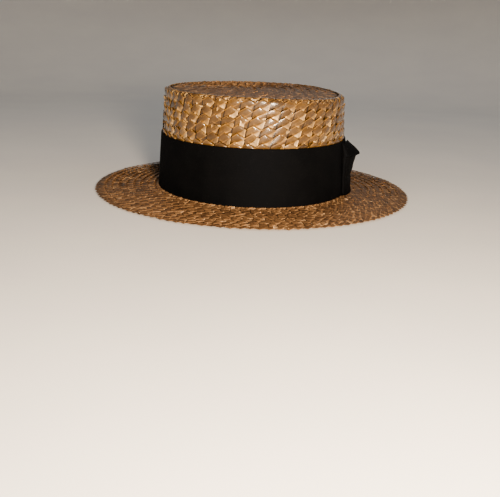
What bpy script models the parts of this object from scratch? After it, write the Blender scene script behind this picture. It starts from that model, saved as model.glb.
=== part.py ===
"""A straw boater with a ribbon band and a side bow, lying brim down, in metres.

The hat's front faces -Y, up is +Z and the bow is on +X, the wearer's left.
The origin is under the middle of the crown, on the brim's underside.
"""

import math

import bmesh
import bpy
import numpy as np

# The oval of the crown's foot, measured over the ridges of the braid
CROWN_WIDTH = 0.172
CROWN_LENGTH = 0.2003

# Upright sizes and the brim
CROWN_HEIGHT = 0.0931
CROWN_TAPER = 0.0046
EDGE_RADIUS = 0.0055
BRIM_WIDTH = 0.0576

# Sewn straw braid: the plain wall, and how far each lapped row stands proud of it
STRAW_WALL = 0.0021
BRAID_STEP = 0.0009
SIDE_ROW = 0.00725
TIP_ROW = 0.0070
BRIM_ROW = 0.0064

# The tip lies a little below the crown's edge, behind an open groove
TIP_DROP = 0.0006
TIP_GROOVE = 0.0008
TIP_MIDDLE = 0.0035

# Ribbon band and bow
RIBBON_WIDTH = 0.048
RIBBON_THICK = 0.0010
BAND_LIFT = 0.0010
LOOP_LENGTH = 0.050
LOOP_PROUD = 0.0130
LAYER_SPACING = 0.0018
KNOT_WIDTH = 0.016
KNOT_PROUD = 0.0020

# Clearance between neighbouring pieces, and the number of sides of the oval
GAP = 0.0003
OVAL_SIDES = 60

# Heights and walls that follow from the sizes above
STRAW_THICK = STRAW_WALL + BRAID_STEP
SIDE_FOOT = STRAW_THICK + GAP
EDGE_START = CROWN_HEIGHT - EDGE_RADIUS
BAND_FOOT = STRAW_THICK + BAND_LIFT

# A loop's shape across the ribbon's width, bottom to top, with one sharp pleat:
# (share of the width, share of the loop's greatest projection)
LOOP_ACROSS = (
    (0.00, 0.30),
    (0.16, 0.27),
    (0.35, 0.29),
    (0.48, 0.43),
    (0.59, 0.55),
    (0.68, 0.63),
    (0.76, 1.00),
    (0.84, 0.72),
    (0.92, 0.33),
    (0.97, 0.13),
    (1.00, 0.02),
)

# Along a loop from the knot's edge to its folded end:
# (share of the loop's length, projection share, spread from pinched to full width)
LOOP_ALONG = (
    (0.04, 0.03, 0.12),
    (0.14, 0.45, 0.42),
    (0.28, 0.85, 0.76),
    (0.44, 1.00, 0.96),
    (0.62, 0.84, 1.00),
    (0.80, 0.60, 0.98),
    (0.93, 0.38, 0.96),
)

# The loop's fold: (share of the loop's length, share of the way from the outer layer to the inner)
LOOP_FOLD_TURN = (
    (0.98, 0.12),
    (1.00, 0.50),
    (0.98, 0.90),
)

# Bottom and top of the loops, as shares of the ribbon's width above the band's foot
LOOP_PINCHED = (0.20, 0.84)
LOOP_SPREAD = (0.01, 0.98)

# The knot's wrap, from under its foot over its face to behind its top:
# (share of its height, share of the way out to its face)
KNOT_WRAP = (
    (0.01, 0.00),
    (0.00, 0.50),
    (0.01, 0.93),
    (0.06, 1.00),
    (0.34, 1.00),
    (0.66, 1.00),
    (0.94, 1.00),
    (0.99, 0.93),
    (1.00, 0.50),
    (0.99, 0.00),
)

# Across the knot: (share of its width, share of its bulge)
KNOT_ACROSS = (
    (-0.50, 0.00),
    (-0.30, 0.55),
    (-0.10, 1.00),
    (0.08, 0.45),
    (0.28, 0.80),
    (0.50, 0.00),
)


def clear_scene():
    for item in list(bpy.data.objects):
        bpy.data.objects.remove(item, do_unlink=True)


def principled(name, colour, roughness):
    """A material with one Principled BSDF of a given colour and roughness."""
    material = bpy.data.materials.new(name)
    material.use_nodes = True
    shader = material.node_tree.nodes["Principled BSDF"]
    shader.inputs["Base Color"].default_value = (*colour, 1.0)
    shader.inputs["Roughness"].default_value = roughness
    shader.inputs["Metallic"].default_value = 0.0
    return material


def link_mesh(name, bm, material, sharp_angle=40.0):
    """Closes off a bmesh as a named object with outward faces and smooth round sides."""
    bmesh.ops.recalc_face_normals(bm, faces=bm.faces)
    mesh = bpy.data.meshes.new(name)
    bm.to_mesh(mesh)
    bm.free()
    mesh.materials.append(material)
    mesh.shade_smooth()
    mesh.set_sharp_from_angle(angle=math.radians(sharp_angle))
    item = bpy.data.objects.new(name, mesh)
    bpy.context.scene.collection.objects.link(item)
    return item


def oval(offset, angle):
    """A point of the crown's oval moved out by offset, at an angle from +X."""
    return (
        (CROWN_WIDTH / 2 + offset) * math.cos(angle),
        (CROWN_LENGTH / 2 + offset) * math.sin(angle),
    )


def lean(height):
    """How far the crown's side has moved in at a height, as a negative offset."""
    rise = (height - SIDE_FOOT) / (EDGE_START - SIDE_FOOT)
    return -CROWN_TAPER * rise


def swept_oval(name, profile, material, closed=True):
    """Carries a profile of (offset, height) points round the oval.

    A closed profile makes a ring; an open one is capped at both ends, as a disc.
    """
    bm = bmesh.new()
    rings = []
    for offset, height in profile:
        angles = [2 * math.pi * side / OVAL_SIDES for side in range(OVAL_SIDES)]
        rings.append([bm.verts.new((*oval(offset, angle), height)) for angle in angles])
    pairs = list(zip(rings, rings[1:]))
    if closed:
        pairs.append((rings[-1], rings[0]))
    for first, second in pairs:
        for side in range(OVAL_SIDES):
            after = (side + 1) % OVAL_SIDES
            bm.faces.new((first[side], first[after], second[after], second[side]))
    if not closed:
        bm.faces.new(rings[0])
        bm.faces.new(rings[-1])
    return link_mesh(name, bm, material)


def braid_rows(start, end, row):
    """Edges of the equal rows of braid that fill the way from start to end."""
    count = max(1, round(abs(end - start) / row))
    return [start + (end - start) * index / count for index in range(count + 1)]


def make_brim(straw):
    """Rows lapped outwards: each one's inner edge lies on the row before it."""
    inner = -STRAW_THICK
    profile = [(inner, 0.0), (inner, STRAW_THICK)]
    edges = braid_rows(0.0, BRIM_WIDTH, BRIM_ROW)
    for near, far in zip(edges, edges[1:]):
        profile.append((near, STRAW_THICK))
        profile.append((far, STRAW_WALL))
    profile.append((BRIM_WIDTH, 0.0))
    return swept_oval("brim", profile, straw)


def make_crown_side(straw):
    """Rows lapped downwards from the lip: each one's top edge lies on the row above."""
    profile = []
    arc_steps = 4
    for step in range(arc_steps, -1, -1):
        turn = math.pi / 2 * step / arc_steps
        inset = EDGE_RADIUS * (1 - math.cos(turn))
        profile.append((-CROWN_TAPER - inset, EDGE_START + EDGE_RADIUS * math.sin(turn)))
    top = EDGE_START
    while top - SIDE_FOOT > BRAID_STEP:
        foot = max(top - SIDE_ROW, SIDE_FOOT)
        if top < EDGE_START:
            profile.append((lean(top), top))
        profile.append((lean(foot) - BRAID_STEP, foot))
        top = foot
    profile.append((-STRAW_THICK, SIDE_FOOT))
    profile.append((-STRAW_THICK - CROWN_TAPER, EDGE_START))
    inner_radius = max(EDGE_RADIUS - STRAW_THICK, 0.2 * EDGE_RADIUS)
    for step in range(1, arc_steps):
        turn = math.pi / 2 * step / arc_steps
        inset = EDGE_RADIUS - inner_radius * math.cos(turn)
        profile.append((-CROWN_TAPER - inset, EDGE_START + inner_radius * math.sin(turn)))
    profile.append((-CROWN_TAPER - EDGE_RADIUS, EDGE_START + inner_radius))
    return swept_oval("crown_side", profile, straw)


def make_crown_tip(straw):
    """Oval rows that close in on a short straight middle, over a flat underside."""
    ridge = CROWN_HEIGHT - TIP_DROP
    rim = -(CROWN_TAPER + EDGE_RADIUS + TIP_GROOVE)
    middle = -(CROWN_WIDTH / 2 - TIP_MIDDLE)
    profile = [(middle, ridge - STRAW_THICK), (rim, ridge - STRAW_THICK)]
    edges = braid_rows(rim, middle, TIP_ROW)
    for far, near in zip(edges, edges[1:]):
        profile.append((far, ridge - BRAID_STEP))
        profile.append((near, ridge))
    return swept_oval("crown_tip", profile, straw, closed=False)


def make_hat_band(ribbon):
    """A ribbon of even thickness that leans with the crown's side."""
    top = BAND_FOOT + RIBBON_WIDTH
    profile = []
    for out, heights in ((GAP, (BAND_FOOT, top)), (GAP + RIBBON_THICK, (top, BAND_FOOT))):
        profile.extend((lean(height) + out, height) for height in heights)
    return swept_oval("hat_band", profile, ribbon)


def beside_band(along, height, proud):
    """A point beside the band, `along` it from +X towards +Y and `proud` of its face."""
    offset = lean(height) + GAP + RIBBON_THICK
    width = CROWN_WIDTH / 2 + offset
    length = CROWN_LENGTH / 2 + offset
    angles = np.linspace(-math.pi / 2, math.pi / 2, 721)
    steps = np.hypot(np.diff(width * np.cos(angles)), np.diff(length * np.sin(angles)))
    run = np.concatenate(([0.0], np.cumsum(steps)))
    angle = float(np.interp(along, run - run[-1] / 2, angles))
    normal = np.array([length * math.cos(angle), width * math.sin(angle)])
    normal /= np.linalg.norm(normal)
    return (
        width * math.cos(angle) + proud * normal[0],
        length * math.sin(angle) + proud * normal[1],
        height,
    )


def sheet_from_grid(name, rows, material):
    """A sheet through rows of points, given the ribbon's thickness both ways."""
    bm = bmesh.new()
    grid = [[bm.verts.new(point) for point in row] for row in rows]
    for row, after in zip(grid, grid[1:]):
        for index in range(len(row) - 1):
            bm.faces.new((row[index], row[index + 1], after[index + 1], after[index]))
    item = link_mesh(name, bm, material, sharp_angle=60.0)
    wall = item.modifiers.new("ribbon", "SOLIDIFY")
    wall.thickness = RIBBON_THICK
    wall.offset = 0.0
    wall.use_even_offset = True
    return item


# Distances of the bow's layers from the band's face, to the middle of each layer
INNER_LAYER = GAP + RIBBON_THICK / 2
OUTER_LAYER = INNER_LAYER + LAYER_SPACING
KNOT_LAYER = OUTER_LAYER + RIBBON_THICK + GAP


def make_loop(name, side, ribbon):
    """One loop of the bow: out from under the knot, round its fold and back along the band."""
    hidden = KNOT_WIDTH / 2 + RIBBON_THICK
    free = LOOP_LENGTH - hidden
    path = [(GAP + RIBBON_THICK / 2, 0.0, 0.0, 0.0), (hidden * 0.9, 0.0, 0.0, 0.0)]
    path += [(hidden + free * run, out, spread, 0.0) for run, out, spread in LOOP_ALONG]
    last_out, last_spread = LOOP_ALONG[-1][1:]
    path += [(hidden + free * run, last_out, last_spread, turn) for run, turn in LOOP_FOLD_TURN]
    path += [(hidden + free * run, 0.0, spread, 1.0) for run, _, spread in LOOP_ALONG[::-2]]
    path += [(hidden * 0.9, 0.0, 0.0, 1.0), (GAP + RIBBON_THICK / 2, 0.0, 0.0, 1.0)]
    rows = []
    for run, out, spread, turn in path:
        low, high = (
            BAND_FOOT + RIBBON_WIDTH * (pinched + (wide - pinched) * spread)
            for pinched, wide in zip(LOOP_PINCHED, LOOP_SPREAD)
        )
        row = []
        for share, bulge in LOOP_ACROSS:
            outer = OUTER_LAYER + max(LOOP_PROUD - OUTER_LAYER, 0.0) * out * bulge
            proud = outer + (INNER_LAYER - outer) * turn
            row.append(beside_band(side * run, low + (high - low) * share, proud))
        rows.append(row)
    return sheet_from_grid(name, rows, ribbon)


def make_knot(ribbon):
    """The wrap over the bow's middle, clear of the pinched loops that pass under it."""
    clear = RIBBON_THICK + GAP
    low = BAND_FOOT + RIBBON_WIDTH * LOOP_PINCHED[0] - clear
    high = BAND_FOOT + RIBBON_WIDTH * LOOP_PINCHED[1] + clear
    rows = []
    for across, bulge in KNOT_ACROSS:
        face = KNOT_LAYER + KNOT_PROUD * bulge
        row = []
        for share, out in KNOT_WRAP:
            proud = INNER_LAYER + (face - INNER_LAYER) * out
            row.append(beside_band(KNOT_WIDTH * across, low + (high - low) * share, proud))
        rows.append(row)
    return sheet_from_grid("bow_knot", rows, ribbon)


def main():
    clear_scene()
    straw = principled("golden straw braid", (0.47, 0.24, 0.08), 0.42)
    flat_straw = principled("brown straw braid", (0.30, 0.14, 0.05), 0.50)
    ribbon = principled("black grosgrain", (0.010, 0.010, 0.011), 0.62)
    make_brim(flat_straw)
    make_crown_side(straw)
    make_crown_tip(flat_straw)
    make_hat_band(ribbon)
    make_loop("bow_front_loop", -1, ribbon)
    make_loop("bow_back_loop", 1, ribbon)
    make_knot(ribbon)


main()
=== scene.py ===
import math

import bpy
import numpy as np
from mathutils import Matrix


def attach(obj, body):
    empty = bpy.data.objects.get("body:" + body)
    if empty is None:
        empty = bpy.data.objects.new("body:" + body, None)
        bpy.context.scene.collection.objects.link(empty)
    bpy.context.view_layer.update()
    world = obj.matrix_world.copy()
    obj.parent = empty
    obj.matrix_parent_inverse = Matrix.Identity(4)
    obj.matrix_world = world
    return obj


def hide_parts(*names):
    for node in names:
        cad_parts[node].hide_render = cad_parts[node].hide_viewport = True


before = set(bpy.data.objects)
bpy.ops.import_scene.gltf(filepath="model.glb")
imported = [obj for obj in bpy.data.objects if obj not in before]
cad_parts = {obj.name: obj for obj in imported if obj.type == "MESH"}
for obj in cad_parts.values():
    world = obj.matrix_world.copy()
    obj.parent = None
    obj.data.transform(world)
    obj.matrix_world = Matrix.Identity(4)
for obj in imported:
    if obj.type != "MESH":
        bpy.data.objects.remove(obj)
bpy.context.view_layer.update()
mm = 0.001
print("frame loaded:", len(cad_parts), "solids")


# Camera, floor and light

# The camera was fitted to the outlines of crown, brim and ribbon: turns in degrees, places in metres
cameraSet = dict(lens=54.13, sensor=36.0, nearest=0.01, pitch=16.34, roll=1.90, yaw=5.20,
                 right=0.0012, ahead=0.7050, above=0.0570)
stageSet = dict(reach=2.8, level=0.9, bend=1.1, points=91, mottle=9.0, tints=("#E6E7E8", "#ECEDEC"))
# Disks of light that face their aims: a small warm one near the camera, and soft ones round the hat
lightSet = dict(
    flash=dict(place=(0.03, -0.76, 0.17), aim=(0.0, -0.05, 0.06), size=0.10, power=17.2, tint="#FFE3C2"),
    key=dict(place=(-0.75, -0.55, 1.05), aim=(0.0, 0.0, 0.03), size=0.9, power=3.2, tint="#FFF6EC"),
    fill=dict(place=(0.95, -0.35, 0.75), aim=(0.0, 0.0, 0.03), size=1.0, power=1.8, tint="#FAF8F5"),
    back=dict(place=(0.2, 1.0, 0.9), aim=(0.0, 0.0, 0.04), size=1.0, power=1.5, tint="#FAF8F5"))
roomSet = dict(strength=0.13, tint="#F5F2EE")


def linear(hexColour):
    # sRGB hex to linear light: up to 0.04045 divided by 12.92, and above it on the 2.4 power curve
    parts = np.array([int(hexColour[i:i + 2], 16) for i in (1, 3, 5)]) / 255
    curve = np.where(parts <= 0.04045, parts / 12.92, ((parts + 0.055) / 1.055) ** 2.4)
    return (*curve.tolist(), 1.0)


def link(item):
    bpy.context.scene.collection.objects.link(item)
    return item


def makeCamera(s):
    # turned about up, tipped about right, rolled about the view: the rows are then right, forward and up
    toCamera = np.array(Matrix.Rotation(math.radians(s["roll"]), 3, "Y")
                        @ Matrix.Rotation(math.radians(s["pitch"]), 3, "X")
                        @ Matrix.Rotation(math.radians(s["yaw"]), 3, "Z"))
    place = -toCamera.T @ np.array([s["right"], s["ahead"], s["above"]])
    right, forward, up = toCamera
    data = bpy.data.cameras.new("camera")
    data.lens = s["lens"]
    data.sensor_width = s["sensor"]
    data.clip_start = s["nearest"]
    item = link(bpy.data.objects.new("camera", data))
    world = np.eye(4)
    world[:3] = np.stack([right, up, -forward, place], axis=1)
    item.matrix_world = Matrix(world.tolist())
    bpy.context.scene.camera = item


def makeLight(name, s):
    data = bpy.data.lights.new(name, "AREA")
    data.shape = "DISK"
    data.size = s["size"]
    data.energy = s["power"]
    data.color = linear(s["tint"])[:3]
    item = link(bpy.data.objects.new(name, data))
    away = np.array(s["place"]) - np.array(s["aim"])
    away /= np.linalg.norm(away)
    side = np.cross((0, 0, 1), away)
    side /= np.linalg.norm(side)
    world = np.eye(4)
    world[:3] = np.stack([side, np.cross(away, side), away, s["place"]], axis=1)
    item.matrix_world = Matrix(world.tolist())


def addNode(tree, kind, sets=None, links=None):
    # one node of that kind. A setting is its own property, else an input's value, and stops are its ramp's.
    # A link comes from an output, or from a node's first one
    node = tree.nodes.new("ShaderNode" + kind)
    for name, value in (sets or {}).items():
        if name == "stops":
            ramp = node.color_ramp.elements
            while len(ramp) < len(value):
                ramp.new(0.5)
            for stop, (place, colour) in zip(ramp, value):
                stop.position = place
                stop.color = linear(colour)
        elif isinstance(name, str) and hasattr(node, name):
            setattr(node, name, value)
        else:
            node.inputs[name].default_value = value
    for name, source in (links or {}).items():
        output = source if isinstance(source, bpy.types.NodeSocket) else source.outputs[0]
        tree.links.new(output, node.inputs[name])
    return node


def newMaterial(name, values, makeNodes):
    # a material whose shader has these values, and whose linked inputs come from nodes that makeNodes adds
    material = bpy.data.materials.new(name)
    material.use_nodes = True
    tree = material.node_tree
    shader = tree.nodes["Principled BSDF"]
    for socket, value in values.items():
        shader.inputs[socket].default_value = value
    for socket, source in makeNodes(tree).items():
        tree.links.new(source.outputs[0], shader.inputs[socket])
    return material


def gridFaces(rows, columns, closeRows=False, closeColumns=False, start=0):
    # quads between neighbours of a grid of points, round the ends where a direction is closed
    i = np.arange(rows if closeRows else rows - 1)[:, None]
    j = np.arange(columns if closeColumns else columns - 1)[None, :]
    below, beside = (i + 1) % rows, (j + 1) % columns
    quads = [i * columns + j, below * columns + j, below * columns + beside, i * columns + beside]
    return start + np.stack(np.broadcast_arrays(*quads), axis=-1).reshape(-1, 4)


def makeMesh(name, points, faces, uv=None, fields=None, rim=None):
    # points as rows of x, y, z and quads as rows of four. Each uv map has one pair a corner, a field has one
    # number a point, and an edge between two points of the same non-zero rim is a crisp one
    mesh = bpy.data.meshes.new(name)
    mesh.vertices.add(len(points))
    mesh.vertices.foreach_set("co", points.astype(np.float32).ravel())
    mesh.loops.add(faces.size)
    mesh.loops.foreach_set("vertex_index", faces.astype(np.int32).ravel())
    mesh.polygons.add(len(faces))
    mesh.polygons.foreach_set("loop_start", np.arange(0, faces.size, 4, dtype=np.int32))
    mesh.update(calc_edges=True)
    mesh.polygons.foreach_set("use_smooth", np.ones(len(faces), dtype=bool))
    for layer, values in (uv or {}).items():
        mesh.uv_layers.new(name=layer).data.foreach_set("uv", values.astype(np.float32).ravel())
    for field, values in (fields or {}).items():
        layer = mesh.attributes.new(field, "FLOAT", "POINT")
        layer.data.foreach_set("value", values.astype(np.float32).ravel())
    if rim is not None:
        ends = np.empty(2 * len(mesh.edges), dtype=np.int32)
        mesh.edges.foreach_get("vertices", ends)
        ends = rim[ends.reshape(-1, 2)]
        crisp = mesh.attributes.new("sharp_edge", "BOOLEAN", "EDGE")
        crisp.data.foreach_set("value", (ends[:, 0] == ends[:, 1]) & (ends[:, 0] > 0))
    mesh.validate()
    return link(bpy.data.objects.new(name, mesh))


def makeStage(s):
    # a floor that rises all round: past its level middle the height is distance^2 / (2 * bend)
    spread = np.linspace(-s["reach"], s["reach"], s["points"])
    grid = np.empty((len(spread), len(spread), 3))
    grid[..., 0] = spread[:, None]
    grid[..., 1] = spread
    past = np.maximum(np.hypot(grid[..., 0], grid[..., 1]) - s["level"], 0)
    grid[..., 2] = past ** 2 / (2 * s["bend"])
    sweep = makeMesh("floor_sweep", grid.reshape(-1, 3), gridFaces(*grid.shape[:2]))

    def paper(tree):
        # a faint mottle of its fibres, in clouds of about 0.1 m
        place = addNode(tree, "TexCoord").outputs["Object"]
        mottle = addNode(tree, "TexNoise", {"Scale": s["mottle"], "Detail": 3.0}, {"Vector": place})
        dark, pale = s["tints"]
        stops = ((0.3, dark), (0.7, pale))
        return {"Base Color": addNode(tree, "ValToRGB", {"stops": stops}, {"Fac": mottle})}

    # Matt paper has no gloss to speak of
    sweep.data.materials.append(newMaterial("pale paper, rolled matt", {"Roughness": 0.9}, paper))


makeCamera(cameraSet)
makeStage(stageSet)
for lightName, light in lightSet.items():
    makeLight(lightName, light)
bpy.context.scene.world = bpy.data.worlds.new("room")
bpy.context.scene.world.use_nodes = True
background = bpy.context.scene.world.node_tree.nodes["Background"]
background.inputs["Color"].default_value = linear(roomSet["tint"])
background.inputs["Strength"].default_value = roomSet["strength"]
print("camera, floor and lights set")


# The hat's own surface, in millimetres: an oval carried along a line from the tip's middle to the brim's edge

hatSet = dict(halfWidth=86.0, halfLength=100.15, height=93.1, taper=4.6, edgeRadius=5.5, sideFoot=3.3,
              brimWidth=57.6, tipDrop=0.6, tipGroove=0.5,
              sag=2.3, sagTowards=-22.0, sagSide=(0.3, 1.0), sagRise=(52.0, 88.0))
ovalChords = 1440
edgeMiddle = -hatSet["taper"] - hatSet["edgeRadius"]


def distanceAlong(points):
    # how far along a broken line each of its points is: the sum of its steps so far
    return np.concatenate(([0.0], np.cumsum(np.linalg.norm(np.diff(points, axis=0), axis=1))))


def ovalAngle(offset, share):
    # angle on the oval at a share of its way round, looked up in the run of a fine polygon, and its girth
    fine = np.linspace(0, 2 * np.pi, ovalChords + 1)
    run = distanceAlong(np.stack([(hatSet["halfWidth"] + offset) * np.cos(fine),
                                  (hatSet["halfLength"] + offset) * np.sin(fine)], axis=1))
    return np.interp(np.mod(share, 1.0) * run[-1], run, fine), run[-1]


def lineAt(line, q):
    # offset, height and outward normal at a distance q along a line of (offset, height) points
    run = distanceAlong(line)
    ahead = np.gradient(line, run, axis=0)
    ahead /= np.linalg.norm(ahead, axis=1)[:, None]
    values = (line[:, 0], line[:, 1], -ahead[:, 1], ahead[:, 0])
    return [np.interp(q, run, value) for value in values]


def leanAt(height):
    # how far the crown's side has moved in at a height
    s = hatSet
    return -s["taper"] * (height - s["sideFoot"]) / (s["height"] - s["edgeRadius"] - s["sideFoot"])


def easeInto(q, low, high, ease=2.0):
    # q as it is between the limits, and bending towards them within the last few millimetres
    top, bottom = high - ease, low + ease
    q = np.where(q > top, top + ease * np.tanh((q - top) / ease), q)
    return np.where(q < bottom, bottom + ease * np.tanh((q - bottom) / ease), q)


def densely(points, spacing=0.6):
    # the same broken line with a point every so often, so that its normals turn smoothly
    points = np.asarray(points, float)
    run = distanceAlong(points)
    fine = np.linspace(0, run[-1], max(2, int(run[-1] / spacing)))
    return np.stack([np.interp(fine, run, points[:, k]) for k in (0, 1)], axis=1)


def fadeIn(x, low, high):
    # 0 below low and 1 above high, with 3u^2 - 2u^3 between
    u = np.clip((x - low) / (high - low), 0, 1)
    return u * u * (3 - 2 * u)


def sagAt(points):
    # the crown has sunk a little at the front of the bow's side: most at that edge, fading down and round it
    s = hatSet
    towards = math.radians(s["sagTowards"])
    share = (points[:, 0] / s["halfWidth"] * math.cos(towards)
             + points[:, 1] / s["halfLength"] * math.sin(towards))
    return s["sag"] * fadeIn(share, *s["sagSide"]) * fadeIn(points[:, 2], *s["sagRise"])


def dress(item, material, node):
    # a finished piece takes the place of its solid, and rides on the hat's one body
    item.data.materials.append(material)
    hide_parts(node)
    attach(item, "root")
    print(item.name, "made:", 2 * len(item.data.polygons), "triangles")


# Straw plait

# A plait in millimetres and degrees. A strand climbs at the angle climb to a tooth, is folded back on a
# line at the angle fold, and falls behind its own climb at the angle fall. pitch is from tooth to tooth,
# width and thick are the strand's, thick being half. It starts a climb as deep as weave, and its falling
# blade lies blade deep. tilt leans each row, which laps its teeth over the next one up. row is the spacing
# of rows, shift the step along from row to row, and loose a chance part of it. depth is how far under the
# hat's surface a row lies, steps the points in two legs, and wander and roll the unevenness of a strand
sidePlait = dict(pitch=11.35, climb=30.0, fall=102.0, fold=25.0, width=6.4, thick=0.50, weave=0.85,
                 blade=0.42, tilt=0.12, row=7.0, shift=-2.0, loose=0.4, depth=1.9, steps=24, wander=0.42,
                 roll=0.17, seed=11)
brimPlait = dict(pitch=8.5, climb=30.0, fall=84.0, fold=25.0, width=4.9, thick=0.32, weave=0.34,
                 blade=0.18, tilt=0.18, row=6.4, shift=4.0, loose=4.0, depth=2.6, steps=16, wander=0.25,
                 roll=0.10, seed=23)
tipPlait = dict(brimPlait, row=7.0, weave=0.30, thick=0.26, tilt=0.09, depth=1.1, seed=37)
# Where a strand bends, in shares of a climb or a fall: slow makes its steps short at the folds, and turn is
# how far from them its section turns. A climb rises, and a blade sinks, between two shares. A seam of painted
# shadow is drawn where the distance called gap is 0: a blade starts clear of it, and crosses it as it sinks.
# The field called height, which darkens the lows with painted shade, loses the share lowered in the lows
bending = dict(slow=0.6, turn=0.13, climbRise=(0.58, 0.90), bladeSink=(0.58, 0.80), bladeDrop=0.05,
               clear=8.0, closing=22.0, closingAt=(0.6, 1.0), lowered=0.5)
# Unevenness: across as a share of wander, out in millimetres, width as a share of it, and on the colour ramp
# tone from bit to bit and wholeTone from strand to strand
uneven = dict(across=0.6, out=0.08, width=0.06, tone=0.09, wholeTone=0.04)
# Across a strand: a nearly flat face whose rims turn down to a crisp edge, over a flat back. strandRim marks
# the two rims
strandSection = np.array([(-.50, 0), (-.39, .62), (0, 1), (.39, .62), (.50, 0), (.30, -.30), (-.30, -.30)])
strandRim = np.array([1, 0, 0, 0, 2, 0, 0])
frontShare = 0.75  # the hat's front, as a share of the way round its oval from +X
noTeeth = 9.0      # stands for far above any tooth, on the last row


def rowReach(s):
    # how far a strand's middle swings each way, and the row's half width with half a folded tooth besides:
    # climb and fall together take up two tooth pitches
    climb, fall, fold = (math.radians(s[key]) for key in ("climb", "fall", "fold"))
    swing = s["pitch"] / (1 / math.tan(climb) + 1 / math.tan(fall))
    return swing, swing + s["width"] / 2 * math.sin(fold) / math.sin(climb + fold)


def notchOf(s, pitch):
    # where a tooth's fold line meets the upper edge of the next strand, past the tooth's middle and up:
    # swing - x*tan(fold) = swing + (x - pitch)*tan(climb) + width/2/cos(climb)
    climb, fold = math.radians(s["climb"]), math.radians(s["fold"])
    x = (pitch * math.tan(climb) - s["width"] / 2 / math.cos(climb)) / (math.tan(climb) + math.tan(fold))
    return x, rowReach(s)[0] - x * math.tan(fold)


def wandering(rng, count, share, amount):
    # smooth closed unevenness: a random number at each of count knots, with a cosine ease between them
    knots = rng.normal(0, amount, count)
    place = np.mod(share, 1.0) * count
    low = np.floor(place).astype(int) % count
    mix = (1 - np.cos(np.pi * (place - np.floor(place)))) / 2
    return knots[low] * (1 - mix) + knots[(low + 1) % count] * mix


def plaitStrand(s, periods, strand, length, rng):
    # one strand, all round. It climbs, low where it comes from under the last blade and rising from there:
    # out = -weave*(1 - in(x)). At the tooth it is folded back, and falls behind its own climb as a blade that
    # lies on the next climb before it goes under the row: out = -blade*tanh(x/drop) - (weave - blade)*in(x).
    # Its flat section is square across it, and turns to the line of the fold at each end of a leg
    climb, fall, fold = (math.radians(s[key]) for key in ("climb", "fall", "fold"))
    swing = rowReach(s)[0]
    climbRun, fallRun = 1 / math.tan(climb), 1 / math.tan(fall)
    stretch = length / (2 * s["pitch"] * periods)
    half = s["steps"] // 2
    step = np.arange(2 * half * periods)
    rising = (step // half) % 2 == 0
    leg = (step % half) / half
    share = step / len(step)
    eased = leg - bending["slow"] * np.sin(2 * np.pi * leg) / (2 * np.pi)
    turnStart = 2 * s["pitch"] * (step // (2 * half))
    run = 2 * swing * np.where(rising, eased * climbRun, climbRun + eased * fallRun)
    along = stretch * (run + turnStart)
    across = swing * np.where(rising, 2 * eased - 1, 1 - 2 * eased)
    climbing = -s["weave"] * (1 - fadeIn(eased, *bending["climbRise"]))
    falling = (-s["blade"] * np.tanh(eased / bending["bladeDrop"])
               - (s["weave"] - s["blade"]) * fadeIn(eased, *bending["bladeSink"]))
    out = np.where(rising, climbing, falling)
    line = np.stack([along + wandering(rng, 2 * periods, share, s["wander"]),
                     across + wandering(rng, 2 * periods, share, uneven["across"] * s["wander"]),
                     out + wandering(rng, 2 * periods, share, uneven["out"])], axis=1)
    wrap = np.array([length, 0, 0])
    ahead = np.vstack([line[1:], line[:1] + wrap]) - np.vstack([line[-1:] - wrap, line[:-1]])
    ahead /= np.linalg.norm(ahead, axis=1)[:, None]
    flat = np.tanh(leg / bending["turn"]) * np.tanh((1 - leg) / bending["turn"])
    square = np.where(rising, np.pi / 2 + climb, 1.5 * np.pi - fall)
    angle = (np.pi - fold) * (1 - flat) + square * flat
    side = np.stack([np.cos(angle), np.sin(angle), np.zeros(len(step))], axis=1)
    up = np.cross(ahead, side)
    up /= np.linalg.norm(up, axis=1)[:, None]
    roll = wandering(rng, 4 * periods, share, s["roll"])[:, None]
    side, up = side * np.cos(roll) + up * np.sin(roll), up * np.cos(roll) - side * np.sin(roll)
    # a fold cuts the straw at a slant, so its section is longer there by 1 / sin(climb + fold)
    slant = 1 + (1 / math.sin(climb + fold) - 1) * (1 - flat)
    wide = s["width"] * slant * (1 + wandering(rng, 2 * periods, share, uneven["width"]))
    points = (line[:, None] + side[:, None] * (strandSection[:, 0] * wide[:, None])[..., None]
              + up[:, None] * (strandSection[:, 1] * s["thick"])[None, :, None])
    # height is 1 on top of the plait and less in its lows, where it paints the straw darker as shade
    height = 1 + bending["lowered"] * np.clip(out / s["weave"], -1, 0)
    # gap is the distance to the right of the last blade's edge, along which a shadow line is painted
    tooth = stretch * (turnStart + 2 * swing * climbRun)
    edge = ((tooth - stretch * s["pitch"])[:, None] + s["width"] / 2 / math.sin(fall)
            + (swing - points[..., 1]) * fallRun)
    sinking = bending["clear"] - bending["closing"] * fadeIn(eased, *bending["closingAt"])
    gap = np.where(rising[:, None], points[..., 0] - edge, sinking[:, None])
    # face is 0 on a climb and 1 on a falling blade, with the change at each fold: it lightens the blades with
    # painted highlight, darkens the climbs with painted shade, and gives the blades more of the coat
    face = np.where(rising, 0.5 - 0.5 * flat, 0.5 + 0.5 * flat)
    tone = (0.5 + wandering(rng, 2 * periods, share, uneven["tone"]) + rng.normal(0, uneven["wholeTone"]))
    points[..., 0] += length * strand / (2 * periods)
    points[..., 2] += points[..., 1] * s["tilt"]
    fields = dict(height=height[:, None], face=face[:, None], tone=tone[:, None], gap=gap,
                  rim=2 * np.abs(strandSection[:, 0]))
    return points, {name: np.broadcast_to(values, gap.shape) for name, values in fields.items()}, line


def closed(values, turn=0.0):
    # a grid with its first row again past its end, one turn on, and its first column again too
    values = np.vstack([values, values[:1] + turn])
    return np.hstack([values, values[:, :1]])


def cornerPairs(u, v):
    # a uv pair for each corner of the quads of a closed grid, in the order of gridFaces
    pairs = np.stack(np.broadcast_arrays(u, v), axis=-1)
    corners = [pairs[:-1, :-1], pairs[1:, :-1], pairs[1:, 1:], pairs[:-1, 1:]]
    return np.stack(corners, axis=2).reshape(-1, 2)


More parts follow.
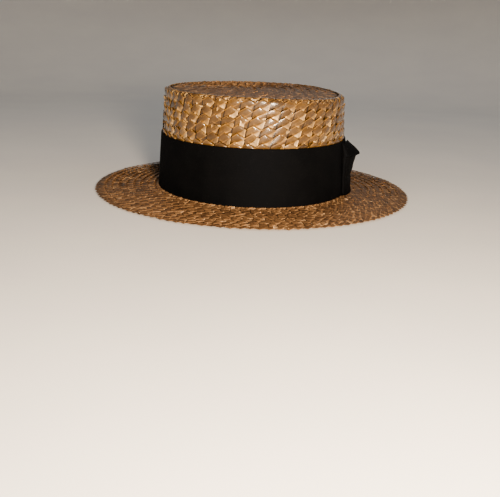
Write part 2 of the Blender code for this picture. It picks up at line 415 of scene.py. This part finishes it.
def lapOver(flat, along, row, low):
    # the lower row's teeth in this row's own places: in tooth pitches along, and above their notches
    if low is None:
        return closed(flat[..., 1]), closed(np.full(flat.shape[:2], noTeeth))
    pitch = low["length"] / (2 * low["periods"])
    notch, notchUp = notchOf(low["plait"], pitch)
    climb = math.radians(low["plait"]["climb"])
    first = 2 * rowReach(low["plait"])[0] / math.tan(climb) * pitch / low["plait"]["pitch"]
    lapAlong = (along * low["length"] / row["length"] - low["turned"] - first - notch) / pitch
    lapUp = (flat[..., 1] + low["centre"] - row["centre"] - notchUp) / pitch
    return closed(lapAlong, 2 * low["periods"]), closed(lapUp)


def makeBraid(name, s, line, centres, limits, settings):
    # every row is a closed ring of two strands, mapped from flat (along, across, out) onto the hat:
    # along goes round the oval from the front, across goes up the line and out along its normal
    rng = np.random.default_rng(s["seed"])
    rows = []
    for index, centre in enumerate(centres):
        own = dict(s, **settings.get(index, {}))
        offset = lineAt(line, centre)[0]
        length = ovalAngle(offset, 0.0)[1]
        rows.append(dict(plait=own, centre=centre, offset=offset, length=length,
                         periods=max(2, round(length / (2 * own["pitch"]))),
                         turned=index * own["shift"] + rng.uniform(-1, 1) * own["loose"]))
    points, faces, strips, laps = [], [], [], []
    fields = dict(height=[], face=[], tone=[], gap=[], rim=[])
    sections = np.append(strandSection[:, 0], strandSection[0, 0])
    start = 0
    for index, row in enumerate(rows):
        own, length = row["plait"], row["length"]
        low = rows[index + 1] if index + 1 < len(rows) else None
        for strand in range(2):
            flat, values, middle = plaitStrand(own, row["periods"], strand, length, rng)
            q = easeInto(row["centre"] - flat[..., 1], own.get("start", limits[0]), limits[1])
            # the lip's shadow on the groove is painted, multiplied into the field called height
            if "groove" in own:
                shaded = own["grooveShade"] * fadeIn(q, *own["groove"])
                values["height"] = values["height"] * (1 - shaded)
            along = flat[..., 0] + row["turned"]
            reach, z, normalOut, normalUp = lineAt(line, q)
            angle = ovalAngle(row["offset"], frontShare + along / length)[0]
            reach = reach + flat[..., 2] * normalOut
            ring = np.stack([(hatSet["halfWidth"] + reach) * np.cos(angle),
                             (hatSet["halfLength"] + reach) * np.sin(angle),
                             z + flat[..., 2] * normalUp], axis=-1).reshape(-1, 3)
            ring[:, 2] -= sagAt(ring)
            points.append(ring)
            faces.append(gridFaces(*flat.shape[:2], True, True, start))
            run = distanceAlong(middle)
            run = np.append(run, 2 * run[-1] - run[-2])
            strips.append(cornerPairs(run[:, None], own["width"] * (sections + 2 * index + strand)))
            laps.append(cornerPairs(*lapOver(flat, along, row, low)))
            for field in fields:
                fields[field].append(values[field].ravel())
            start += len(ring)
    fields = {field: np.concatenate(values) for field, values in fields.items()}
    crisp = np.tile(strandRim, start // len(strandSection))
    maps = dict(strip=np.concatenate(strips), lap=np.concatenate(laps))
    print(name, "plaited:", len(rows), "rows")
    return makeMesh(name, np.concatenate(points) * mm, np.concatenate(faces), maps, fields, crisp)


def strawMaterial(name, s):
    def straw(tree):
        tone, face, height, gap, rim = (addNode(tree, "Attribute", {"attribute_name": field}).outputs["Fac"]
                                        for field in ("tone", "face", "height", "gap", "rim"))
        strip = addNode(tree, "UVMap", {"uv_map": "strip"})
        # fibres run along the straw: 0.6 mm and finer, and 17 mm long, as the UV map is in millimetres
        grain = addNode(tree, "Mapping", {"Scale": (0.06, 1.7, 1.0)}, {"Vector": strip})
        fibre = addNode(tree, "TexNoise", {"Scale": 1.0, "Detail": 3.0, "Roughness": 0.6}, {"Vector": grain})
        blotch = addNode(tree, "TexNoise", {"Scale": 0.22, "Detail": 2.0}, {"Vector": strip})
        # place on the ramp: tone + 0.3*(fibre - 1/2) + faceShare*(face - 1/2) + 0.3*(blotch - 1/2)
        fibred = addNode(tree, "Math", {"operation": "MULTIPLY_ADD", 1: 0.30, 2: -0.15}, {0: fibre})
        toned = addNode(tree, "Math", {"operation": "ADD"}, {0: tone, 1: fibred})
        # faceShare sets how far the painted highlight on the blades and the painted shade on the climbs go
        faced = addNode(tree, "Math", {"operation": "MULTIPLY_ADD", 1: s["faceShare"]}, {0: face, 2: toned})
        blotched = addNode(tree, "Math", {"operation": "MULTIPLY_ADD", 1: 0.30}, {0: blotch, 2: faced})
        centre = 0.15 + s["faceShare"] / 2
        centred = addNode(tree, "Math", {"operation": "SUBTRACT", 1: centre}, {0: blotched})
        colour = addNode(tree, "ValToRGB", {"stops": s["colours"]}, {"Fac": centred})
        # painted shade darkens the lows of the plait, and painted shadow lines run along two edges: the last
        # blade's, in millimetres, and the next row's teeth, in pitches, the lower of two slopes within each
        # pitch
        low = addNode(tree, "MapRange", {"From Min": 0.05, "From Max": 0.65, "To Min": s["lowShade"]},
                      {"Value": height})
        nearBlade = addNode(tree, "Math", {"operation": "ABSOLUTE"}, {0: gap})
        bladeShade = addNode(tree, "MapRange", {"From Min": 0.20, "From Max": 0.90, "To Min": s["seamShade"]},
                             {"Value": nearBlade})
        lap = addNode(tree, "SeparateXYZ", {}, {0: addNode(tree, "UVMap", {"uv_map": "lap"})})
        within = addNode(tree, "Math", {"operation": "FRACT"}, {0: lap.outputs["X"]})
        climb, fold = (math.tan(math.radians(s["plait"][key])) for key in ("climb", "fold"))
        rise = addNode(tree, "Math", {"operation": "MULTIPLY", 1: climb}, {0: within})
        drop = addNode(tree, "Math", {"operation": "MULTIPLY_ADD", 1: -fold, 2: fold}, {0: within})
        teeth = addNode(tree, "Math", {"operation": "MINIMUM"}, {0: rise, 1: drop})
        above = addNode(tree, "Math", {"operation": "SUBTRACT"}, {0: lap.outputs["Y"], 1: teeth})
        nearTeeth = addNode(tree, "Math", {"operation": "ABSOLUTE"}, {0: above})
        teethShade = addNode(tree, "MapRange", {"From Min": 0.015, "From Max": 0.07,
                                                "To Min": s["seamShade"]}, {"Value": nearTeeth})
        paintedSeams = addNode(tree, "Math", {"operation": "MULTIPLY"}, {0: bladeShade, 1: teethShade})
        paintedShade = addNode(tree, "Math", {"operation": "MULTIPLY"}, {0: low, 1: paintedSeams})
        # painted highlight: a strand's rims are made lighter than the rest of it
        pale = addNode(tree, "MapRange", {"From Min": 0.68, "From Max": 0.88, "To Min": 1.0,
                                          "To Max": s["paintedRimLight"]}, {"Value": rim})
        edged = addNode(tree, "Math", {"operation": "MULTIPLY"}, {0: paintedShade, 1: pale})
        # and a painted highlight lightens the bend of a blade where it goes down under the falling side of a
        # tooth
        falling = addNode(tree, "Math", {"operation": "GREATER_THAN"}, {0: rise, 1: drop})
        paintedBend = addNode(tree, "MapRange", {"From Min": 0.24, "From Max": 0.10, "To Min": 0.0,
                                          "To Max": s["bend"]}, {"Value": above})
        lift = addNode(tree, "Math", {"operation": "MULTIPLY_ADD", 2: 1.0}, {0: paintedBend, 1: falling})
        shade = addNode(tree, "Math", {"operation": "MULTIPLY"}, {0: edged, 1: lift})
        shaded = addNode(tree, "VectorMath", {"operation": "SCALE"}, {0: colour, "Scale": shade})
        rough = addNode(tree, "MapRange", {"To Min": s["rough"] + 0.07, "To Max": s["rough"] - 0.07},
                        {"Value": fibre})
        bump = addNode(tree, "Bump", {"Strength": 0.5, "Distance": 0.00025}, {"Height": fibre})
        # the falling blades stand in the polish, and the climbs between them have less than half of it. The
        # coat is thinned too where the shade is painted
        polish = addNode(tree, "Math", {"operation": "MULTIPLY_ADD", 1: 0.55 * s["coat"],
                                        2: 0.45 * s["coat"]}, {0: face})
        coat = addNode(tree, "Math", {"operation": "MULTIPLY"}, {0: paintedShade, 1: polish})
        return {"Base Color": shaded, "Roughness": rough, "Normal": bump, "Coat Normal": bump,
                "Coat Weight": coat}

    values = {"IOR": 1.52, "Specular IOR Level": s["gloss"], "Coat Roughness": s["coatRough"],
              "Coat IOR": 1.5}
    return newMaterial(name, values, straw)


# Split wheat straw, plaited, sewn and sized with shellac: golden, with splinters of light off the folds,
# reflected in the coat and painted as highlights on the rims and bends
sideStraw = strawMaterial("split wheat straw, plaited and shellacked", dict(
    plait=sidePlait, seamShade=0.18, bend=0.8,
    colours=((0.0, "#33230C"), (0.38, "#573D18"), (0.70, "#836433"), (1.0, "#D0B07B")),
    faceShare=0.42, lowShade=0.25, paintedRimLight=2.3, gloss=0.42, rough=0.24, coat=1.0, coatRough=0.06))
# The same straw, browned by light and dust on the flats: duller and darker
flatStraw = strawMaterial("split wheat straw, plaited and sun browned", dict(
    plait=brimPlait, seamShade=0.30, bend=1.5,
    colours=((0.0, "#38271A"), (0.40, "#63482D"), (0.75, "#886948"), (1.0, "#BD9C75")),
    faceShare=0.40, lowShade=0.12, paintedRimLight=2.6, gloss=0.10, rough=0.45, coat=0.06, coatRough=0.20))


# Crown side: a flat lip, a quarter round, then down the leaning wall, in under the ribbon, and to its foot.
# A narrow row lies on the lip, the second row's teeth make the crown's edge, and rows behind the ribbon have
# fewer points
sideSet = dict(lip=8.0, lipRow=7.0, inner=6.0, bandTop=53.5, tucked=50.5, tuck=0.7, foot=1.6, arcPoints=12,
               pastFoot=0.6, edgeTilt=0.10, edgeStart=0.4, hiddenFrom=7, hiddenSteps=14)
lipPlait = dict(sidePlait, pitch=6.2, width=3.5, weave=0.22, thick=0.28, blade=0.12, tilt=0.03, wander=0.15,
                steps=16, start=7.3)


def makeCrownSide(s, plait):
    # the line's quarter round is edgeRadius - depth in radius, round the middle of the crown's own edge
    radius = hatSet["edgeRadius"] - plait["depth"]
    level = hatSet["height"] - hatSet["edgeRadius"]
    arc = np.linspace(np.pi / 2, 0, s["arcPoints"])
    line = densely([(edgeMiddle - s["lip"], level + radius)]
                   + [(edgeMiddle + radius * math.cos(a), level + radius * math.sin(a)) for a in arc]
                   + [(-plait["depth"] + leanAt(s["bandTop"]), s["bandTop"]),
                      (-plait["depth"] - s["tuck"] + leanAt(s["tucked"]), s["tucked"]),
                      (-plait["depth"] - s["tuck"], s["foot"])])
    end = distanceAlong(line)[-1]
    halfRow = rowReach(plait)[1]
    edgeRow = s["lip"] + radius * math.pi / 4
    last = end - 2 * halfRow + s["pastFoot"] * plait["row"]
    centres = np.append(s["lipRow"] + rowReach(lipPlait)[1], halfRow + np.arange(edgeRow, last, plait["row"]))
    settings = {index: {"steps": s["hiddenSteps"]} for index in range(s["hiddenFrom"], len(centres))}
    settings.update({0: lipPlait, 1: {"tilt": s["edgeTilt"], "start": edgeRow + s["edgeStart"]}})
    return makeBraid("crown_side_braid", plait, line, centres, (s["inner"], end), settings)


dress(makeCrownSide(sideSet, sidePlait), sideStraw, "crown_side")


# Crown tip: flat rows that close in on a short straight middle, with a painted shadow of the lip at their
# outer edge
tipSet = dict(innermost=-1.0, inner=-2.5, underLip=1.5, groove=(3.0, 1.6), grooveShade=0.75)


def makeCrownTip(s, plait):
    # a level line from the middle out to the groove
    level = hatSet["height"] - hatSet["tipDrop"] - plait["depth"]
    line = densely([(-hatSet["halfWidth"], level), (edgeMiddle - hatSet["tipGroove"], level)])
    end = distanceAlong(line)[-1]
    centres = np.arange(end - rowReach(plait)[1], s["innermost"], -plait["row"])[::-1]
    settings = {len(centres) - 1: {"groove": [end - before for before in s["groove"]],
                                   "grooveShade": s["grooveShade"]}}
    return makeBraid("crown_tip_braid", plait, line, centres, (s["inner"], end + s["underLip"]), settings)


dress(makeCrownTip(tipSet, tipPlait), flatStraw, "crown_tip")


# Brim: flat rows lapped outwards, a small fillet at the ribbon's foot, and a narrow row that ends the edge
brimSet = dict(inner=-4.6, past=1.0, filletRun=(1.2, 4.4), filletPoints=9, filletRise=1.5, filletFade=0.9,
               spacing=0.3, edge=1.2, edgeRow=5.4, innermost=3.0, margin=0.2)
edgePlait = dict(pitch=7.0, width=4.1, wander=0.15)


def makeBrim(s, plait):
    # a level line, but for the fillet's height of rise * exp(-(run from its foot) / fade)
    fillet = np.linspace(*s["filletRun"], s["filletPoints"])
    rise = s["filletRise"] * np.exp((fillet[0] - fillet) / s["filletFade"])
    line = densely([(s["inner"], plait["depth"])] + list(zip(fillet, plait["depth"] + rise))
                   + [(hatSet["brimWidth"] + s["past"], plait["depth"])], s["spacing"])
    end = distanceAlong(line)[-1]
    outer = end - s["edge"] - rowReach(dict(plait, **edgePlait))[1]
    centres = np.append(np.arange(outer - s["edgeRow"], s["innermost"], -plait["row"])[::-1], outer)
    limits = (s["margin"], end - s["margin"])
    return makeBraid("brim_braid", plait, line, centres, limits, {len(centres) - 1: edgePlait})


dress(makeBrim(brimSet, brimPlait), flatStraw, "brim")


# Grosgrain ribbon. thick is without the ribs, and gap and middle are how far out from the crown's own surface
# its back lies and its girth is measured. Its selvedge is a share of the width
ribbonSet = dict(width=48.0, thick=0.6, foot=3.7, gap=-0.35, middle=0.5, ribPitch=0.9, ribHeight=0.11,
                 ribSteps=4, selvedge=0.04, seed=5)
# Shares of the width with a row of points, closer together by the selvedges
bandRows = np.array([0, 0.02, 0.05, 0.12, 0.25, 0.4, 0.55, 0.7, 0.82, 0.92, 0.97, 1.0])


def ribbonShell(name, grid, ribs, closeRows, selvedge):
    # a ribbon with its two faces: the middle surface moved along its normals by half the thickness, and its
    # face by a rib besides, which is the size of a half sine and fades out in the selvedge
    s = ribbonSet
    rows, columns = grid.shape[:2]
    if closeRows:
        alongStep = np.roll(grid, -1, axis=0) - np.roll(grid, 1, axis=0)
    else:
        alongStep = np.gradient(grid, axis=0)
    normal = np.cross(alongStep, np.gradient(grid, axis=1))
    normal /= np.linalg.norm(normal, axis=2)[..., None]
    across = np.linspace(0, 1, columns)
    fade = np.clip(np.minimum(across, 1 - across) / selvedge, 0, 1)
    lift = s["ribHeight"] * np.abs(np.sin(np.pi * ribs))[:, None] * fade
    front = grid + normal * (s["thick"] / 2 + lift)[..., None]
    back = grid - normal * (s["thick"] / 2 + 0.5 * lift - s["ribHeight"] / 4)[..., None]
    section = np.concatenate([front, back[:, ::-1]], axis=1)
    faces = gridFaces(rows, 2 * columns, closeRows, True)
    if not closeRows:
        j = np.arange(columns - 1)
        cap = np.stack([j, j + 1, 2 * columns - 2 - j, 2 * columns - 1 - j], axis=1)
        faces = np.concatenate([faces, cap, (rows - 1) * 2 * columns + cap[:, ::-1]])
    there = np.concatenate([across, across[::-1]])
    uvPoint = np.stack(np.broadcast_arrays(ribs[:, None], there[None]), axis=-1).reshape(-1, 2)
    return makeMesh(name, section.reshape(-1, 3) * mm, faces, {"strip": uvPoint[faces.ravel()]})


def ribbonMaterial(name, s):
    def grosgrainNodes(tree):
        # u counts ribs and v is the share of the width. The real threads are too fine to show, so the
        # wave's 12 * 20 radians draw 38 across the 48 mm, of 1.3 mm each
        strip = addNode(tree, "UVMap", {"uv_map": "strip"})
        threads = addNode(tree, "TexWave", {"wave_type": "BANDS", "bands_direction": "Y", "Scale": 12.0,
                                            "Distortion": 0.6, "Detail": 1.0}, {"Vector": strip})
        # wear in patches of about 18 mm
        place = addNode(tree, "TexCoord").outputs["Object"]
        wear = addNode(tree, "TexNoise", {"Scale": 55.0, "Detail": 4.0, "Roughness": 0.6}, {"Vector": place})
        colour = addNode(tree, "ValToRGB", {"stops": s["colours"]}, {"Fac": wear})
        rough = addNode(tree, "MapRange", {"To Min": s["rough"] - 0.08, "To Max": s["rough"] + 0.10},
                        {"Value": wear})
        bump = addNode(tree, "Bump", {"Strength": 0.25, "Distance": 0.00006},
                       {"Height": threads.outputs["Fac"]})
        return {"Base Color": colour, "Roughness": rough, "Normal": bump}

    values = {"IOR": 1.5, "Specular IOR Level": s["gloss"], "Specular Tint": linear(s["glossTint"])}
    return newMaterial(name, values, grosgrainNodes)


# Rayon and cotton grosgrain, woven in ribs and dyed black: hardly any gloss, and that a little bluish
grosgrain = ribbonMaterial("rayon grosgrain, woven and dyed black", dict(
    colours=((0.3, "#030303"), (0.7, "#060606")), rough=0.7, gloss=0.05, glossTint="#D2E0FF"))


def makeBand(s, girth):
    # round the oval by columns and up the crown's lean by rows, with a slight unevenness of hand blocking
    rng = np.random.default_rng(s["seed"])
    ribCount = round(girth / s["ribPitch"])
    share = np.arange(ribCount * s["ribSteps"]) / (ribCount * s["ribSteps"])
    angle = ovalAngle(0.0, share)[0][:, None]
    up = bandRows[None, :]
    height = s["foot"] + s["width"] * up
    # each unevenness has its knots round the hat, its size in millimetres, and where it is across the width
    parts = ((14, 0.10, 1 - up), (14, 0.08, up), (30, 0.05, np.sin(np.pi * up) ** 2))
    ripple = sum(wandering(rng, knots, share, size)[:, None] * shape for knots, size, shape in parts)
    reach = leanAt(height) + s["gap"] + s["thick"] / 2 + ripple
    grid = np.stack(np.broadcast_arrays((hatSet["halfWidth"] + reach) * np.cos(angle),
                                        (hatSet["halfLength"] + reach) * np.sin(angle), height), axis=-1)
    return ribbonShell("grosgrain_band", grid, share * ribCount, True, s["selvedge"])


bandGirth = ovalAngle(ribbonSet["middle"], 0.0)[1]
band = makeBand(ribbonSet, bandGirth)
dress(band, grosgrain, "hat_band")


# Bow: two loops and a knot, on layers counted out from the hat's surface
bowSet = dict(loopLength=50.0, loopProud=13.0, knotWidth=16.0, knotProud=2.0, layerSpacing=1.8,
              pinched=(0.20, 0.84), spread=(0.01, 0.98), pleats=4.5, pleatDepth=0.55, hiddenShare=0.9,
              loopPoints=(440, 41), loopScale=(1.0, 8.0, 6.0, 4.0), loopSelvedge=0.03,
              knotPoints=(220, 35), knotDepth=6.0, knotTuck=0.4, knotSelvedge=0.05, waist=0.10)
innerLayer = ribbonSet["gap"] + ribbonSet["thick"] / 2
outerLayer = innerLayer + bowSet["layerSpacing"]
knotLayer = outerLayer + ribbonSet["thick"] + ribbonSet["gap"]

# A loop across the ribbon, bottom to top: share of the width, share of its greatest projection
loopAcross = np.array([(0, .30), (.16, .27), (.35, .29), (.48, .43), (.59, .55), (.68, .63), (.76, 1.0),
                       (.84, .72), (.92, .33), (.97, .13), (1, .02)])
# Out from the knot, round the fold and back: share of the free length, projection, spread, and layer, from
# 0 for the outer to 1 for the inner
loopOut = [(.04, .03, .12, 0), (.14, .45, .42, 0), (.28, .85, .76, 0), (.44, 1, .96, 0), (.62, .84, 1, 0),
           (.80, .60, .98, 0), (.93, .38, .96, 0), (.98, .38, .96, .12), (1.0, .38, .96, .5),
           (.98, .38, .96, .9)]
loopBack = [(.93, 0, .96, 1), (.62, 0, 1, 1), (.28, 0, .76, 1), (.04, 0, .12, 1)]
# The knot, from under its foot over its face to behind its top: share of its length, share of the way out
knotWrap = np.array([(.01, 0), (0, .5), (.01, .93), (.06, 1), (.20, 1), (.34, 1), (.5, 1), (.66, 1), (.80, 1),
                     (.94, 1), (.99, .93), (1, .5), (.99, 0)])
# And across it, in two soft folds: share of its width, share of its greatest bulge
knotFolds = np.array([(-.5, 0), (-.42, .35), (-.3, .62), (-.1, 1), (0, .75), (.08, .45), (.18, .6), (.28, .8),
                      (.4, .45), (.5, 0)])


def throughKnots(knots, count, scale=1.0):
    # a smooth curve through the rows of knots: Catmull-Rom pieces, equally spaced in the knots' own distance,
    # which is measured with the columns scaled
    knots = np.array(knots, float) * scale
    place = distanceAlong(knots)
    slopes = np.gradient(knots, place, axis=0)
    t = np.linspace(0, place[-1], count)
    i = np.clip(np.searchsorted(place, t, side="right") - 1, 0, len(knots) - 2)
    span = (place[i + 1] - place[i])[:, None]
    u = (t - place[i])[:, None] / span
    return ((2 * u**3 - 3 * u**2 + 1) * knots[i] + (u**3 - 2 * u**2 + u) * span * slopes[i]
            + (-2 * u**3 + 3 * u**2) * knots[i + 1] + (u**3 - u**2) * span * slopes[i + 1]) / scale


def besideBand(along, height, proud):
    # a point beside the band's face: along goes from +X towards +Y by arc length, proud is square to the face
    offset = leanAt(height) + ribbonSet["gap"] + ribbonSet["thick"]
    width, length = hatSet["halfWidth"] + offset, hatSet["halfLength"] + offset
    girth = ovalAngle(float(np.mean(offset)), 0.0)[1]
    angle = ovalAngle(float(np.mean(offset)), along / girth)[0]
    normal = np.stack([length * np.cos(angle), width * np.sin(angle)], axis=-1)
    normal /= np.linalg.norm(normal, axis=-1)[..., None]
    return np.stack([width * np.cos(angle) + proud * normal[..., 0],
                     length * np.sin(angle) + proud * normal[..., 1],
                     np.broadcast_to(height, angle.shape)], axis=-1)


def ribsAlong(grid):
    # ribs counted along the middle column
    return distanceAlong(grid[:, grid.shape[1] // 2]) / ribbonSet["ribPitch"]


def makeLoop(name, side, seed):
    # run, projection, spread and layer are smooth functions of the way round the loop, and the bulge one of
    # the way across. Pleats fan out from the knot and die away towards the fold
    s = bowSet
    rng = np.random.default_rng(seed)
    hidden = s["knotWidth"] / 2 + ribbonSet["thick"]
    free = s["loopLength"] - hidden
    path = [(innerLayer, 0, 0, 0), (s["hiddenShare"] * hidden, 0, 0, 0)]
    path += [(hidden + free * run, out, spread, turn) for run, out, spread, turn in loopOut + loopBack]
    path += [(s["hiddenShare"] * hidden, 0, 0, 1), (innerLayer, 0, 0, 1)]
    # in the distance the three shares count as 8, 6 and 4 mm
    way = throughKnots(path, s["loopPoints"][0], np.array(s["loopScale"]))
    run, out, spread, turn = (way[:, k][:, None] for k in range(4))
    share, bulge = throughKnots(loopAcross, s["loopPoints"][1]).T
    low, high = (ribbonSet["foot"] + ribbonSet["width"] * (tight + (wide - tight) * spread)
                 for tight, wide in zip(s["pinched"], s["spread"]))
    fan = np.sin(2 * np.pi * s["pleats"] * share + rng.uniform(0, 6)) * s["pleatDepth"]
    pleated = fan * np.clip(1.4 - spread, 0, 1) * np.clip(out * 4, 0, 1)
    outer = outerLayer + (s["loopProud"] - outerLayer) * out * bulge + pleated
    proud = outer + (innerLayer - outer) * np.clip(turn, 0, 1)
    along = side * np.broadcast_to(run, (len(way), len(share)))
    grid = besideBand(along, low + (high - low) * share, proud)
    ribs = ribsAlong(grid)
    if side > 0:
        grid = grid[:, ::-1]
    return ribbonShell(name, grid, ribs, False, s["loopSelvedge"])


def makeKnot(s):
    # a strip wrapped over the bow's middle, a little narrower at its waist
    hiddenEdge = ribbonSet["thick"] + ribbonSet["gap"] + s["knotTuck"]
    low = ribbonSet["foot"] + ribbonSet["width"] * s["pinched"][0] - hiddenEdge
    high = ribbonSet["foot"] + ribbonSet["width"] * s["pinched"][1] + hiddenEdge
    # in the distance the shares count as the knot's length and depth
    share, out = throughKnots(knotWrap, s["knotPoints"][0], np.array([high - low, s["knotDepth"]])).T
    across, bulge = throughKnots(knotFolds, s["knotPoints"][1]).T
    middling = np.sin(np.pi * share)[:, None]
    face = knotLayer + s["knotProud"] * bulge[None] * (0.75 + 0.25 * middling)
    proud = innerLayer + (face - innerLayer) * out[:, None]
    along = s["knotWidth"] * across[None] * (1 - s["waist"] * middling ** 2)
    height = np.broadcast_to(low + (high - low) * share[:, None], along.shape)
    grid = besideBand(along, height, proud)
    return ribbonShell("bow_knot_ribbon", grid[:, ::-1], ribsAlong(grid), False, s["knotSelvedge"])


for loopName, node, side in (("bow_front_loop_ribbon", "bow_front_loop", -1),
                             ("bow_back_loop_ribbon", "bow_back_loop", 1)):
    loop = makeLoop(loopName, side, 3 + side)
    dress(loop, grosgrain, node)

knot = makeKnot(bowSet)
dress(knot, grosgrain, "bow_knot")
